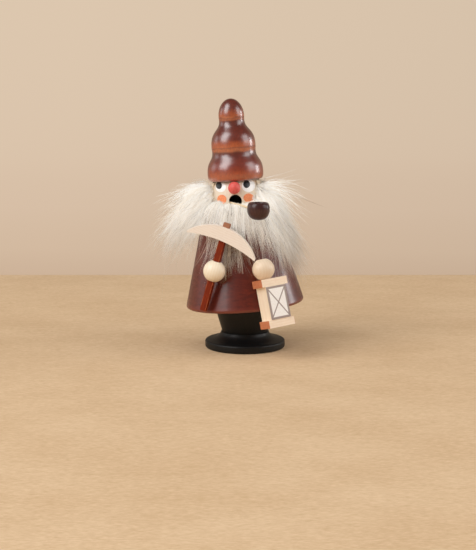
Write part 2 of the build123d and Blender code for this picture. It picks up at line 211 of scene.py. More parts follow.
def grainedWood(name, look, where):
    # growth rings, fibres and pores along the piece's Z axis, or along the axis that the look turns to Z
    look = {**woodGrain, **look}
    finish, tree, shader = newFinish(name, look)
    local = placed(tree, where)
    grain = stretched(tree, local, (1, 1, 1), look["turn"], look["pith"])
    inputs = {"Vector": stretched(tree, grain, (1, 1, look["ringLong"])), "Scale": look["ringScale"],
              "Distortion": look["ringBend"], "Detail": 2.0, "Detail Scale": 0.6}
    rings = add(tree, "ShaderNodeTexWave", inputs, wave_type="RINGS", rings_direction="Z",
                wave_profile="SIN").outputs["Fac"]
    fibres = noise(tree, stretched(tree, grain, look["fibre"]), 4.0, 0.6)
    dashes = noise(tree, stretched(tree, grain, look["dash"]), 1.0)
    pores = fade(tree, dashes, look["poreFrom"], look["poreTo"])
    ringShade = calc(tree, "MULTIPLY", rings, look["ringDepth"])
    fibreShade = calc(tree, "MULTIPLY", fade(tree, fibres, 0.25, 0.75), look["fibreDepth"])
    poreShade = calc(tree, "MULTIPLY", pores, look["poreDepth"])
    shade = calc(tree, "ADD", ringShade, fibreShade)
    colour = blendColour(tree, shade, look["pale"], look["deep"])
    colour = blendColour(tree, poreShade, colour, look["pore"])
    height = calc(tree, "SUBTRACT", calc(tree, "MULTIPLY", fibres, look["fibreRise"]),
                  calc(tree, "MULTIPLY", pores, look["poreSink"]))
    bumped(tree, shader, height, look["bump"])
    sheen = fade(tree, fibres, 0.3, 0.7, look["rough"] - look["glossier"], look["rough"] + look["duller"])
    tree.links.new(sheen, shader.inputs["Roughness"])
    return finish, tree, shader, local, colour


def simpleWood(name, look, where):
    finish, tree, shader, local, colour = grainedWood(name, look, where)
    settle(tree, shader, colour)
    return finish


# hat: stain pale low on each tier and in the grooves, dark on the shoulders of the tiers

hatLook = {"rough": 0.34, "coat": 1.0, "coatRough": 0.28, "coatIor": 1.9, "height": 34.0,
           "ringDepth": 0.0, "fibreDepth": 0.75, "poreDepth": 0.4, "bump": 0.06,
           "fibre": (1.6, 1.6, 0.8), "dash": (4.5, 4.5, 1.5), "sway": (0.22, 0.22, 0.4), "swayHigh": 0.4,
           "pale": (255, 255, 255), "deep": (186, 160, 150), "pore": (140, 96, 82),
           "bands": [(0.0, (126, 46, 18)), (0.8, (182, 82, 34)), (3.2, (178, 76, 32)),
                     (6.0, (142, 50, 22)), (10.2, (112, 40, 22)), (11.6, (118, 50, 32)),
                     (12.4, (190, 100, 54)), (13.3, (188, 94, 46)), (13.7, (146, 62, 30)),
                     (14.1, (194, 96, 44)), (15.4, (184, 88, 40)), (17.2, (126, 46, 22)),
                     (22.8, (108, 38, 20)), (24.4, (118, 50, 32)), (25.2, (184, 94, 48)),
                     (25.7, (148, 66, 34)), (26.2, (194, 100, 48)), (27.8, (168, 80, 40)),
                     (29.8, (122, 48, 26)), (33.8, (110, 44, 28))]}  # height above the brim, and colour


def hatStain():
    finish, tree, shader, local, grain = grainedWood("hatStain", hatLook, brimFrame)
    sway = noise(tree, stretched(tree, local, hatLook["sway"]), 2.0)
    sway = fade(tree, sway, 0.3, 0.7, -hatLook["swayHigh"], hatLook["swayHigh"])
    height = calc(tree, "ADD", axes(tree, local)["Z"], sway)
    stops = [(place / hatLook["height"], colour) for place, colour in hatLook["bands"]]
    stain = bands(tree, calc(tree, "DIVIDE", height, hatLook["height"]), stops)
    settle(tree, shader, blendColour(tree, 1.0, stain, grain, "MULTIPLY"))
    return finish


# coat: deep red brown outside, bare and smoky inside

coatLook = {"rough": 0.40, "specular": 0.4, "coat": 0.4, "coatRough": 0.22, "coatIor": 1.7,
            "ringDepth": 0.0, "fibreDepth": 0.9, "poreDepth": 0.3, "bump": 0.06,
            "fibre": (0.35, 0.35, 1.1), "dash": (4.0, 4.0, 1.4),
            "pale": (112, 38, 20), "deep": (70, 17, 8), "pore": (48, 11, 6),
            "hem": (128, 52, 34), "hemFrom": 2.5, "hemTo": 0.2, "hemDepth": 0.7,
            "chamber": 9.95, "chamberEdge": 0.15, "inside": (150, 112, 76),
            "darkInside": (58, 40, 28), "sootFrom": 4.0, "sootTo": 24.0}


def coatStain():
    finish, tree, shader, local, grain = grainedWood("coatStain", coatLook, figureFrame)
    along = axes(tree, local)
    flat = add(tree, "ShaderNodeCombineXYZ", {"X": along["X"], "Y": along["Y"]}).outputs[0]
    chamber = coatLook["chamber"]
    inside = fade(tree, reach(tree, flat), chamber + coatLook["chamberEdge"], chamber)
    smoky = fade(tree, along["Z"], coatLook["sootFrom"], coatLook["sootTo"])
    bare = blendColour(tree, smoky, coatLook["inside"], coatLook["darkInside"])
    hem = fade(tree, along["Z"], coatLook["hemFrom"], coatLook["hemTo"], 0.0, coatLook["hemDepth"])
    outside = blendColour(tree, hem, grain, coatLook["hem"])
    settle(tree, shader, blendColour(tree, inside, outside, bare))
    return finish


# face: pale turned wood, near black inside the head, as seen in the mouth

faceLook = {"rough": 0.42, "coat": 0.15, "coatRough": 0.3,
            "ringDepth": 0.25, "fibreDepth": 0.4, "poreDepth": 0.2, "bump": 0.08,
            "pale": (236, 222, 204), "deep": (223, 203, 179), "pore": (204, 175, 146),
            "skin": 0.35, "darkEdge": 0.8, "darkInside": (20, 15, 11)}


def faceWood():
    finish, tree, shader, local, grain = grainedWood("faceWood", faceLook, headFrame)
    edge = headShape["radius"] - faceLook["skin"]
    inside = fade(tree, reach(tree, local), edge, edge - faceLook["darkEdge"])
    settle(tree, shader, blendColour(tree, inside, grain, faceLook["darkInside"]))
    return finish


# foot and legs, bead hands, pick blade, and the dowels and pegs: plain grain

lacquerLook = {"rough": 0.5, "specular": 0.3, "coat": 0.06, "coatRough": 0.2,
               "ringDepth": 0.3, "fibreDepth": 0.5, "poreDepth": 0.5, "bump": 0.08,
               "pale": (18, 17, 16), "deep": (9, 8, 8), "pore": (6, 5, 5)}
beadLook = {"rough": 0.40, "coat": 0.2, "coatRough": 0.3, "ringScale": 0.30,
            "ringDepth": 0.30, "fibreDepth": 0.35, "poreDepth": 0.2, "bump": 0.08,
            "pale": (246, 234, 213), "deep": (232, 210, 178), "pore": (214, 184, 148)}
# painted shade: the left bead's tones are darker, as if shaded by the blade and the fur above it
shadedBead = {"pale": (234, 214, 190), "deep": (218, 190, 158), "pore": (198, 164, 130)}
bladeLook = {"rough": 0.55, "turn": (0, math.pi / 2, 0), "pith": (18, 3, 0), "ringScale": 0.34,
             "ringDepth": 0.35, "fibreDepth": 0.4, "poreDepth": 0.3, "bump": 0.2,
             "pale": (246, 235, 224), "deep": (234, 217, 200), "pore": (216, 192, 170)}
bareLook = {"rough": 0.6, "ringDepth": 0.3, "fibreDepth": 0.5, "poreDepth": 0.3, "bump": 0.2,
            "pale": (236, 212, 180), "deep": (212, 180, 140), "pore": (190, 152, 112)}


# pick handle: a square stick whose corners are rubbed paler

handleLook = {"rough": 0.6, "specular": 0.12, "ringScale": 0.4,
              "ringDepth": 0.15, "fibreDepth": 0.7, "poreDepth": 0.5, "bump": 0.22,
              "pale": (142, 50, 17), "deep": (90, 26, 9), "pore": (62, 18, 8),
              "rubbed": (206, 124, 78), "rub": 0.16, "patch": (1.5, 1.5, 0.35),
              "end": (172, 122, 94), "endFrom": 17.2, "endTo": 18.6, "endDepth": 0.8}


def handleStain():
    finish, tree, shader, local, grain = grainedWood("handleStain", handleLook, handleFrame)
    along = axes(tree, local)
    corner = calc(tree, "MINIMUM", calc(tree, "ABSOLUTE", along["X"]), calc(tree, "ABSOLUTE", along["Y"]))
    half = pickSet["side"] / 2
    patches = fade(tree, noise(tree, stretched(tree, local, handleLook["patch"]), 2.0), 0.42, 0.58)
    rub = calc(tree, "MULTIPLY", fade(tree, corner, half - handleLook["rub"], half), patches)
    colour = blendColour(tree, rub, grain, handleLook["rubbed"])
    worn = fade(tree, along["Z"], handleLook["endFrom"], handleLook["endTo"], 0.0, handleLook["endDepth"])
    settle(tree, shader, blendColour(tree, worn, colour, handleLook["end"]))
    return finish


# lantern: pale wood; the slats' cut ends are a darker orange brown

slatLook = {"rough": 0.5, "turn": (0, math.pi / 2, 0), "pith": (20, 4, 0), "ringScale": 0.3,
            "ringDepth": 0.3, "fibreDepth": 0.45, "poreDepth": 0.25, "bump": 0.2,
            "pale": (250, 231, 209), "deep": (238, 210, 181), "pore": (214, 177, 143),
            "end": (206, 130, 90), "endDeep": (182, 104, 66), "endFrom": 0.12, "endTo": 0.04,
            "speck": (3, 3, 3)}
blockLook = {"rough": 0.5, "ringScale": 0.26,
             "ringDepth": 0.3, "fibreDepth": 0.4, "poreDepth": 0.22, "bump": 0.2,
             "pale": (252, 236, 213), "deep": (241, 217, 188), "pore": (214, 180, 144)}


def slatWood():
    finish, tree, shader, local, grain = grainedWood("slatWood", slatLook, blockFrame)
    half = lanternSet["slatWide"] / 2
    side = calc(tree, "ABSOLUTE", axes(tree, local)["X"])
    cut = fade(tree, side, half - slatLook["endFrom"], half - slatLook["endTo"])
    speck = fade(tree, noise(tree, stretched(tree, local, slatLook["speck"]), 3.0), 0.35, 0.65)
    end = blendColour(tree, speck, slatLook["end"], slatLook["endDeep"])
    settle(tree, shader, blendColour(tree, cut, grain, end))
    return finish


# window card: cream paper with a printed grey frame and a glazing cross

printLook = {"rough": 0.55, "paper": (250, 247, 245), "paperDeep": (241, 235, 230), "ink": (158, 142, 136),
             "frame": 0.85, "bar": 0.24, "soft": 0.08, "margin": 0.15,
             "mottle": (2.5, 2.5, 2.5), "bump": 0.06}


def windowPrint():
    finish, tree, shader = newFinish("windowPrint", printLook)
    local = placed(tree, blockFrame)
    along = axes(tree, local)
    halfWide = lanternSet["wide"] / 2 - printLook["margin"]
    halfHigh = lanternSet["high"] / 2 - printLook["margin"]
    side, rise = (calc(tree, "ABSOLUTE", along[axis]) for axis in ("X", "Z"))
    soft, frameWide, bar = printLook["soft"], printLook["frame"], printLook["bar"]
    sideInk = fade(tree, side, halfWide - frameWide - soft, halfWide - frameWide + soft)
    riseInk = fade(tree, rise, halfHigh - frameWide - soft, halfHigh - frameWide + soft)
    diagonal = math.hypot(halfWide, halfHigh)
    leaning = calc(tree, "SUBTRACT", calc(tree, "MULTIPLY", side, halfHigh / diagonal),
                   calc(tree, "MULTIPLY", rise, halfWide / diagonal))
    crossInk = fade(tree, calc(tree, "ABSOLUTE", leaning), bar + soft, bar - soft)
    ink = calc(tree, "MAXIMUM", calc(tree, "MAXIMUM", sideInk, riseInk), crossInk)
    mottle = noise(tree, stretched(tree, local, printLook["mottle"]), 4.0)
    tone = fade(tree, mottle, 0.35, 0.65)
    paper = blendColour(tree, tone, printLook["paper"], printLook["paperDeep"])
    settle(tree, shader, blendColour(tree, ink, paper, printLook["ink"]))
    bumped(tree, shader, mottle, printLook["bump"])
    return finish


# painted, metal and other small things: two mottled tones

speckle = {"scale": (1.2, 1.2, 1.2), "bump": 0.08, "swing": 0.06}


def speckled(name, look):
    look = {**speckle, **look}
    finish, tree, shader = newFinish(name, look)
    flecks = noise(tree, stretched(tree, placed(tree, figureFrame), look["scale"]), 4.0, 0.6)
    speck = fade(tree, flecks, 0.3, 0.7)
    settle(tree, shader, blendColour(tree, speck, look["pale"], look["deep"]))
    sheen = fade(tree, speck, 0.0, 1.0, look["rough"] - look["swing"], look["rough"] + look["swing"])
    tree.links.new(sheen, shader.inputs["Roughness"])
    bumped(tree, shader, speck, look["bump"])
    return finish


noseLook = {"rough": 0.5, "coat": 0.1, "pale": (226, 98, 90), "deep": (214, 82, 76), "bump": 0.05}
strawLook = {"rough": 0.5, "pale": (240, 222, 190), "deep": (220, 192, 150), "scale": (3, 3, 3), "bump": 0.1}
hideLook = {"rough": 0.75, "pale": (238, 222, 198), "deep": (218, 196, 166), "scale": (2, 2, 2), "bump": 0.3}
brassLook = {"rough": 0.34, "metal": 1.0, "pale": (214, 178, 108), "deep": (176, 134, 70),
             "scale": (0.8, 0.8, 0.8)}
steelLook = {"rough": 0.3, "metal": 1.0, "pale": (190, 190, 192), "deep": (150, 150, 154), "scale": (2, 2, 2)}
incenseLook = {"rough": 0.85, "pale": (110, 80, 56), "deep": (74, 50, 34), "scale": (3, 3, 3), "bump": 0.5}

dress(hatStain(), "hat")
dress(coatStain(), "coat")
dress(simpleWood("footLacquer", lacquerLook, Matrix.Identity(4)), "base_disc")
dress(simpleWood("legLacquer", lacquerLook, shifted(4, 2, 0)), "legs")
dress(faceWood(), "head")
dress(simpleWood("rightBeadWood", beadLook, pickFrame), "right_hand")
# the left bead wears the painted shade
dress(simpleWood("leftBeadWood", {**beadLook, **shadedBead}, lanternFrame), "left_hand")
dress(simpleWood("bladeWood", bladeLook, bladeFrame), "pick_head")
dress(handleStain(), "pick_handle")
dress(simpleWood("pinWood", bareLook, lanternFrame), "lantern_pin", "left_hand_peg", "right_hand_peg")
dress(simpleWood("dowelWood", bareLook, figureFrame), "leg_dowel", "hat_dowel")
dress(slatWood(), "lantern_top", "lantern_bottom")
dress(simpleWood("blockWood", blockLook, blockFrame), "lantern_body")
dress(windowPrint(), "lantern_window")
dress(speckled("noseRed", noseLook), "nose")
dress(speckled("strawStem", strawLook), "pipe_stem")
dress(speckled("pelt", hideLook), "hair_pelt", "beard_pelt")
dress(speckled("dishBrass", brassLook), "incense_dish")
dress(speckled("nailSteel", steelLook), "dish_nails")
dress(speckled("incense", incenseLook), "incense_cone")
print("finishes on the turned and sawn pieces")


# pipe bowl: turned, with a rounded lip; its profile is radius and height from the bowl's middle

pipeLook = {"rough": 0.45, "specular": 0.3, "coat": 0.5, "coatRough": 0.2,
            "pale": (72, 36, 34), "deep": (50, 24, 22), "scale": (2.0, 2.0, 0.5)}
bowlShape = {"place": (9.9, -19.9, 41.1), "sides": 64, "smooth": 60,
             "profile": [(1.4, -3.95), (2.5, -3.6), (3.45, -2.95), (4.1, -2.0), (4.5, -0.8),
                         (4.6, 0.3), (4.56, 1.3), (4.36, 2.15), (4.05, 2.75), (3.7, 3.08),
                         (3.3, 3.12), (3.0, 2.9), (2.85, 2.3), (2.6, 0.3)]}


def turnedBowl():
    firstRadius, firstHeight = bowlShape["profile"][0]
    bpy.ops.object.select_all(action="DESELECT")
    bpy.ops.mesh.primitive_circle_add(vertices=bowlShape["sides"], radius=firstRadius * mm, fill_type="NGON",
                                      location=(0, 0, firstHeight * mm))
    piece = bpy.context.object
    piece.name = "turnedBowl"
    bpy.ops.object.transform_apply()
    bpy.ops.object.mode_set(mode="EDIT")
    bpy.ops.mesh.select_all(action="SELECT")
    oldRadius, oldHeight = firstRadius, firstHeight
    for radius, height in bowlShape["profile"][1:]:
        widen = radius / oldRadius
        bpy.ops.mesh.extrude_region_move(TRANSFORM_OT_translate={"value": (0, 0, (height - oldHeight) * mm)})
        bpy.ops.transform.resize(value=(widen, widen, 1), center_override=(0, 0, height * mm))
        oldRadius, oldHeight = radius, height
    bpy.ops.mesh.select_all(action="SELECT")
    bpy.ops.mesh.normals_make_consistent(inside=False)
    bpy.ops.object.mode_set(mode="OBJECT")
    piece.matrix_world = figureFrame @ shifted(*bowlShape["place"]) @ spun("Y", stance["lean"])
    bpy.ops.object.transform_apply()
    bpy.ops.object.shade_smooth_by_angle(angle=math.radians(bowlShape["smooth"]))
    piece.data.materials.append(speckled("pipeStain", pipeLook))
    piece.visible_shadow = False  # keeps the fur behind it light
    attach(piece, "figure")
    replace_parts(piece, "pipe_bowl")


turnedBowl()
print("pipe turned")


# painted eyes and cheeks, thin spots that follow the ball of the head

spotShape = {"sides": 48, "start": 0.3, "smooth": 50}


def paintSpot(name, look):
    rise = (look["height"] - headShape["height"]) / headShape["radius"]
    run = math.sqrt(1 - rise ** 2)
    turn = math.radians(look["turn"])
    out = Vector((run * math.sin(turn), -run * math.cos(turn), rise))
    level = Vector((math.cos(turn), math.sin(turn), 0))
    facing = Matrix((level, out.cross(level), out)).transposed().to_4x4()
    middle = headFrame @ shifted(*(out * (headShape["radius"] + spotShape["start"])))
    spot = middle @ facing @ spun("Z", look["tilt"])
    bpy.ops.object.select_all(action="DESELECT")
    bpy.ops.mesh.primitive_circle_add(vertices=spotShape["sides"], radius=look["tall"] * mm, fill_type="NGON",
                                      location=spot.translation, rotation=spot.to_euler())
    piece = bpy.context.object
    piece.name = name
    bpy.ops.object.mode_set(mode="EDIT")
    bpy.ops.mesh.select_all(action="SELECT")
    for ring in range(look["rings"]):
        bpy.ops.mesh.inset(thickness=look["tall"] * mm / (look["rings"] + 1))
    bpy.ops.mesh.poke()
    bpy.ops.object.mode_set(mode="OBJECT")
    piece.scale = (look["wide"] / look["tall"], 1, 1)
    bpy.ops.object.transform_apply()
    wrap = piece.modifiers.new("onHead", "SHRINKWRAP")
    wrap.target = nodes["head"]
    wrap.wrap_method = "NEAREST_SURFACEPOINT"
    wrap.wrap_mode = "ABOVE_SURFACE"
    wrap.offset = look["lift"] * mm
    bpy.ops.object.modifier_apply(modifier=wrap.name)
    shell = piece.modifiers.new("coatOfPaint", "SOLIDIFY")
    shell.thickness = look["thick"] * mm
    shell.offset = 1
    bpy.ops.object.modifier_apply(modifier=shell.name)
    bpy.ops.object.shade_smooth_by_angle(angle=math.radians(spotShape["smooth"]))
    piece.data.materials.append(look["finish"])
    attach(piece, "figure")


eyeLook = {"rough": 0.35, "coat": 0.3, "pale": (252, 251, 250), "deep": (244, 241, 240), "bump": 0.03}
pupilLook = {"rough": 0.30, "coat": 0.3, "pale": (38, 40, 44), "deep": (24, 25, 28), "bump": 0.03}
cheekLook = {"rough": 0.6, "pale": (250, 164, 112), "deep": (232, 126, 84), "scale": (1.6, 1.6, 1.6),
             "bump": 0.1}
eye = {"rings": 5, "lift": 0.03, "thick": 0.07, "finish": speckled("eyeWhite", eyeLook)}
pupil = {"rings": 3, "lift": 0.11, "thick": 0.09, "finish": speckled("pupilBlack", pupilLook)}
cheek = {"rings": 4, "lift": 0.03, "thick": 0.05, "finish": speckled("cheekBlush", cheekLook)}
faceSpots = {
    "rightEye": {**eye, "turn": -37.8, "height": 50.8, "wide": 3.26, "tall": 2.33, "tilt": -21.2},
    "leftEye": {**eye, "turn": 35.8, "height": 50.5, "wide": 3.49, "tall": 2.80, "tilt": 20.0},
    "rightPupil": {**pupil, "turn": -43.6, "height": 51.3, "wide": 2.16, "tall": 1.45, "tilt": -31.7},
    "leftPupil": {**pupil, "turn": 30.5, "height": 51.1, "wide": 1.85, "tall": 1.46, "tilt": 55.1},
    "rightCheek": {**cheek, "turn": -32.8, "height": 45.5, "wide": 2.61, "tall": 2.00, "tilt": 14.0},
    "leftCheek": {**cheek, "turn": 30.9, "height": 45.4, "wide": 2.48, "tall": 1.91, "tilt": -12.1},
}
for name, look in faceSpots.items():
    paintSpot(name, look)
print("face painted")


# fur: tapered strands that grow from the strips of hide, gather in locks and lie on the coat

furLook = {"rough": 0.6, "specular": 0.2, "massed": 0.75, "lie": 0.35,
           "root": (238, 224, 200), "middle": (255, 252, 247), "tip": (255, 252, 247), "middleAt": 0.22,
           "guard": (132, 112, 98), "grey": (208, 194, 180), "dull": (243, 236, 224), "dullShare": 0.6,
           "columns": 64, "columnEdge": 0.15, "endEdge": 0.01, "lockStep": 7, "toneSpread": 6,
           "fine": (0.7, 1.2), "coarse": 1.9, "coarseShare": 0.15, "taper": 0.8,
           "bending": (0.35, 0.8, 1.2, 1.7), "lengths": (0.72, 1.15), "longLengths": (0.65, 1.08),
           "pace": (4, 9), "lockPace": (3, 7), "phase": (0, 6.28), "wildRise": (0, 0, 6),
           "deepSpread": 1.5, "guardEdge": 0.02}


def furFinish(name, look):
    # each strand takes its tone from its column of the map, and pales or greys from root to tip
    finish, tree, shader = newFinish(name, furLook)
    spot = axes(tree, add(tree, "ShaderNodeUVMap", uv_map="OFBake").outputs["UV"])
    column = calc(tree, "FLOOR", calc(tree, "MULTIPLY", spot["X"], furLook["columns"]))
    chance, tone = (add(tree, "ShaderNodeTexWhiteNoise", {"W": calc(tree, "ADD", column, start)},
                        noise_dimensions="1D").outputs["Value"] for start in (0.5, 91.5))
    along = spot["Y"]
    # the darker cream at the root is partly the fur's own tone and partly painted shade deep in the fur
    stops = [(0.0, furLook["root"]), (furLook["middleAt"], furLook["middle"]), (1.0, furLook["tip"])]
    colour = bands(tree, along, stops)
    greying = calc(tree, "MULTIPLY", fade(tree, along, look["greyFrom"], look["greyTo"]), look["grey"])
    colour = blendColour(tree, calc(tree, "MULTIPLY", greying, chance), colour, furLook["grey"])
    rare = 1 - look["guards"]
    guard = calc(tree, "MULTIPLY", fade(tree, chance, rare, rare + furLook["guardEdge"]),
                 fade(tree, along, look["guardFrom"], look["guardTo"]))
    colour = blendColour(tree, guard, colour, furLook["guard"])
    bright = fade(tree, tone, 0.0, furLook["dullShare"])
    tint = blendColour(tree, bright, furLook["dull"], (255, 255, 255))
    settle(tree, shader, blendColour(tree, 1.0, colour, tint, "MULTIPLY"))
    return finish


def unit(vectors):
    return vectors / np.maximum(np.linalg.norm(vectors, axis=-1, keepdims=True), 1e-9)


def coatSurface(height):
    # outer radius of the coat at a height, for arrays
    straight = coatShape["hem"] - coatShape["taper"] * height
    shoulder = coatShape["hem"] - coatShape["taper"] * coatShape["shoulder"]
    share = np.clip((height - coatShape["shoulder"]) / (coatShape["top"] - coatShape["shoulder"]), 0, 1)
    swell = np.sqrt(1 - share ** coatShape["bend"])
    bent = coatShape["topRadius"] + (shoulder - coatShape["topRadius"]) * swell
    return np.where(height < coatShape["shoulder"], straight, bent)


def outOfBall(points, centre, radius):
    away = points - np.array(centre)
    far = np.linalg.norm(away, axis=-1, keepdims=True)
    return np.where(far < radius, np.array(centre) + away / np.maximum(far, 1e-6) * radius, points)


keepOff = {"gap": 0.35, "bowl": (9.6, -19.9, 41.2), "bowlRadius": 4.6, "blade": 0.4, "brimRadius": 12.3}


def layOnFigure(points, lift):
    # moves strand points out of the coat, hat, head, beads and pipe, and behind the pick's blade
    x, y, z = points[..., 0], points[..., 1], points[..., 2]
    radius = np.hypot(x, y)
    z = np.where(radius < keepOff["brimRadius"], np.minimum(z, headShape["brim"] - keepOff["gap"]), z)
    wanted = coatSurface(z) + keepOff["gap"] + lift
    grow = np.where((radius < wanted) & (z < coatShape["top"]), wanted / np.maximum(radius, 1e-6), 1.0)
    points = np.stack([x * grow, y * grow, z], -1)
    points = outOfBall(points, (0, 0, headShape["height"]), headShape["radius"] + headShape["pelt"] / 2)
    for centre in (rightBead, leftBead):
        points = outOfBall(points, tuple(centre), beads["radius"] + keepOff["gap"])
    points = outOfBall(points, keepOff["bowl"], keepOff["bowlRadius"])
    back = rightBead.y + pickSet["bladeThick"] / 2 + keepOff["blade"]
    points[..., 1] = np.maximum(points[..., 1], back)
    return points


def bezier(controls, t):
    # controls (n, 4, 3), t (n, k)
    t = t[..., None]
    a, b, c, d = (controls[:, None, i] for i in range(4))
    return a * (1 - t) ** 3 + 3 * b * t * (1 - t) ** 2 + 3 * c * t ** 2 * (1 - t) + d * t ** 3


def neighbours(count, spots):
    place = spots * (count - 1)
    low = np.clip(place.astype(int), 0, max(count - 2, 0))
    return low, np.minimum(low + 1, count - 1), (place - low)[:, None, None]


def guideAt(grid, across, deep):
    # control points between neighbouring guides; both places run from 0 to 1
    front, back, backShare = neighbours(grid.shape[0], deep)
    low, high, share = neighbours(grid.shape[1], across)
    before = grid[front, low] * (1 - share) + grid[front, high] * share
    behind = grid[back, low] * (1 - share) + grid[back, high] * share
    return before * (1 - backShare) + behind * backShare


def strandPaths(look, draw):
    # each strand follows its own guide, gathers towards its lock's, waves, and in places stands off
    grid = np.array(look["guides"], float)
    count, locks = look["strands"], look["locks"]
    weight = np.array(furLook["bending"])[None, :, None]
    lockAcross = draw.triangular(0, look["crowd"], 1, locks)
    lockDeep = draw.random(locks)
    lockShift = draw.normal(0, look["lockStray"], (locks, 4, 3)) * weight
    lockGuide = guideAt(grid, lockAcross, lockDeep) + lockShift
    lock = draw.integers(0, locks, count)
    across = np.clip(lockAcross[lock] + draw.normal(0, look["spread"], count), 0, 1)
    deep = np.clip(lockDeep[lock] + draw.normal(0, look["spread"] * furLook["deepSpread"], count), 0, 1)
    own = guideAt(grid, across, deep) + lockShift[lock]
    own += draw.normal(0, look["stray"], (count, 4, 3)) * weight
    own[:, 0] += draw.normal(0, look["rootSpread"], (count, 3))
    length = np.interp(across, np.linspace(0, 1, len(look["reach"])), look["reach"])
    length *= draw.uniform(*furLook["lengths"], count)
    inLongLock = (draw.random(locks) < look["longShare"])[lock]
    length = np.where(inLongLock, draw.uniform(*furLook["longLengths"], count), length)
    t = np.linspace(0, 1, look["rings"] + 1)[None, :] * length[:, None]
    path = bezier(own, t)
    gather = draw.uniform(*look["gather"], (count, 1, 1)) * (t ** 1.5)[..., None]
    path += (bezier(lockGuide[lock], t) - path) * gather
    pace, phase = (draw.uniform(*furLook[key], (count, 1)) for key in ("pace", "phase"))
    path += draw.normal(0, look["wave"], (count, 1, 3)) * (np.sin(t * pace + phase) * t)[..., None]
    pace, phase = (draw.uniform(*furLook[key], locks)[lock, None] for key in ("lockPace", "phase"))
    path += draw.normal(0, look["lockWave"], (locks, 1, 3))[lock] * (np.sin(t * pace + phase) * t)[..., None]
    loose = (draw.random(count) < look["flyaway"])[:, None, None]
    path += np.where(loose, draw.normal(0, look["flyReach"], (count, 1, 3)) * (t ** 2)[..., None], 0)
    wild = (draw.random(count) < look["wild"])[:, None, None]
    stand = draw.normal(0, look["wildReach"], (count, 1, 3)) + furLook["wildRise"]
    path += np.where(wild, stand * (t ** 2)[..., None], 0)
    loft = draw.exponential(look["loft"], (count, 1))
    return layOnFigure(path, loft), lock, (loose | wild)[:, 0]


def strandFaces(rings):
    # triangles and map places of one three-sided strand with a pointed tip
    faces, spots = [], []
    for ring in range(rings - 1):
        for k in range(3):
            a, b = ring * 3 + k, ring * 3 + (k + 1) % 3
            faces += [(a, b, b + 3), (a, b + 3, a + 3)]
            low, high, left, right = ring / rings, (ring + 1) / rings, k / 3, (k + 1) / 3
            spots += [(left, low), (right, low), (right, high), (left, low), (right, high), (left, high)]
    last, tip = (rings - 1) * 3, rings * 3
    for k in range(3):
        faces.append((last + k, last + (k + 1) % 3, tip))
        spots += [(k / 3, 1 - 1 / rings), ((k + 1) / 3, 1 - 1 / rings), ((k + 0.5) / 3, 1.0)]
    faces.append((2, 1, 0))
    spots += [(0.9, 0.0), (0.5, 0.02), (0.1, 0.0)]
    return np.array(faces), np.array(spots)


def furMesh(name, points, normals, faces, places):
    mesh = bpy.data.meshes.new(name)
    mesh.vertices.add(len(points))
    mesh.vertices.foreach_set("co", points.astype(np.float32).ravel())
    mesh.loops.add(faces.size)
    mesh.loops.foreach_set("vertex_index", faces.astype(np.int32).ravel())
    mesh.polygons.add(len(faces))
    mesh.polygons.foreach_set("loop_start", np.arange(0, faces.size, 3, dtype=np.int32))
    mesh.polygons.foreach_set("use_smooth", np.ones(len(faces), bool))
    bakeMap = mesh.uv_layers.new(name="OFBake", do_init=False)
    bakeMap.uv.foreach_set("vector", places.astype(np.float32).ravel())
    mesh.update(calc_edges=True)
    mesh.normals_split_custom_set_from_vertices(unit(normals))
    return mesh


def growFur(name, look, finish):
    draw = np.random.default_rng(look["seed"])
    count, rings = look["strands"], look["rings"]
    path, lock, apart = strandPaths(look, draw)
    along = unit(np.gradient(path, axis=1))
    side = unit(np.cross(along, draw.normal(0, 1, (count, 1, 3))))
    over = np.cross(along, side)
    coarse = apart | (draw.random((count, 1)) < furLook["coarseShare"])
    thick = look["thick"] * np.where(coarse, furLook["coarse"], draw.uniform(*furLook["fine"], (count, 1)))
    thick = thick * (1 - furLook["taper"] * np.linspace(0, 1, rings + 1)[None, :])
    corners = []
    for k in range(3):
        angle = 2 * math.pi * k / 3
        corners.append(path + (side * math.cos(angle) + over * math.sin(angle)) * thick[..., None])
    tube = np.stack(corners, 2)[:, :-1].reshape(count, rings * 3, 3)
    points = np.concatenate([tube, path[:, -1:]], 1)
    # strands are shaded partly as the mass of fur that they lie in
    outward = unit(points - np.array(look["heart"])) + np.array(look["face"])
    outward = unit(outward + draw.normal(0, furLook["lie"], (look["locks"], 1, 3))[lock])
    own = unit(points - np.concatenate([np.repeat(path[:, :-1], 3, 1), path[:, -2:-1]], 1))
    turned = np.array(figureFrame.to_3x3())
    normals = (outward * furLook["massed"] + own * (1 - furLook["massed"])).reshape(-1, 3) @ turned.T
    points = points.reshape(-1, 3) @ turned.T * mm + np.array(figureFrame.translation)
    faces, spots = strandFaces(rings)
    every = (faces[None] + (np.arange(count) * (rings * 3 + 1))[:, None, None]).reshape(-1, 3)
    tone = draw.integers(0, furLook["toneSpread"], count)
    column = (lock * furLook["lockStep"] + tone) % furLook["columns"]  # a lock keeps near one tone
    inset = furLook["columnEdge"] + (1 - 2 * furLook["columnEdge"]) * spots[:, 0]
    places = np.repeat(spots[None], count, 0)
    places[..., 0] = (column[:, None] + inset) / furLook["columns"]
    places[..., 1] = furLook["endEdge"] + (1 - 2 * furLook["endEdge"]) * places[..., 1]
    mesh = furMesh(name, points, normals, every, places)
    mesh.materials.append(finish)
    piece = bpy.data.objects.new(name, mesh)
    scene.collection.objects.link(piece)
    piece.visible_shadow = look["shadow"]
    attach(piece, "figure")
    print(name, len(every), "triangles")
    return piece


# guides of the fur, root to tip, in millimetres on the figure; rows run from front to back,
# and columns run down a tuft, across the beard and round the nape; reach is how much of the guides grows,
# column by column, heart is the middle of a mass of fur, and face is where its shading leans

